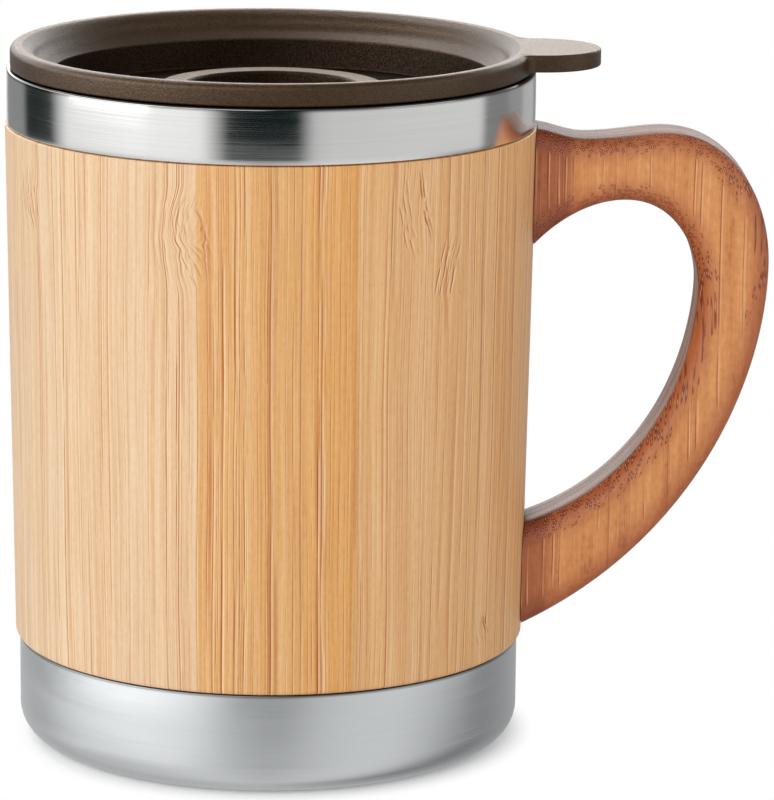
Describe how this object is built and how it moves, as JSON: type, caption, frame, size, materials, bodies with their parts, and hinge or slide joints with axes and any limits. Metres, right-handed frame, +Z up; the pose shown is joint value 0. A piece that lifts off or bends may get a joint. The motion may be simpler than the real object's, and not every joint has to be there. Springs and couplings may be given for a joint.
{
  "type": "double-walled mug",
  "caption": "Double-walled steel mug in a light bamboo sleeve, with a sawn bamboo loop handle and a press-in brown plastic lid that lifts off by a thumb tab.",
  "frame": {"origin": "centre of the flat underside of the base, on the mug's own axis, on the table", "axes": "+Z up along the mug's axis, +X from the axis out through the handle, +Y to the left of the handle"},
  "size_m": [0.121, 0.084, 0.1115],
  "materials": {
    "liner_steel": "satin stainless steel",
    "collar_steel": "polished stainless steel with fine turning lines",
    "base_steel": "brushed stainless steel",
    "sleeve_bamboo": "natural light bamboo, sanded and sealed matt",
    "handle_bamboo": "carbonised bamboo, sanded and oiled",
    "screw_steel": "plain steel",
    "lid_plastic": "moulded polypropylene, fine matt grain",
    "seal_silicone": "translucent silicone"
  },
  "bodies": {
    "mug": {"inner_liner": "liner_steel", "outer_shell": "collar_steel", "base_cup": "base_steel", "bamboo_sleeve": "sleeve_bamboo", "handle": "handle_bamboo", "handle_screw_upper": "screw_steel", "handle_screw_lower": "screw_steel"},
    "lid_seal": {"lid_seal": "seal_silicone"},
    "lid": {"lid_body": "lid_plastic"}
  },
  "joints": [
    {"name": "lid_lift", "type": "slide", "parent": "mug", "child": "lid_seal", "axis": [0, 0, 1], "range_m": [0, 0.07]},
    {"name": "lid_turn", "type": "hinge", "parent": "lid_seal", "child": "lid", "pos_m": [0, 0, 0.1079], "axis": [0, 0, 1], "continuous": true}
  ]
}
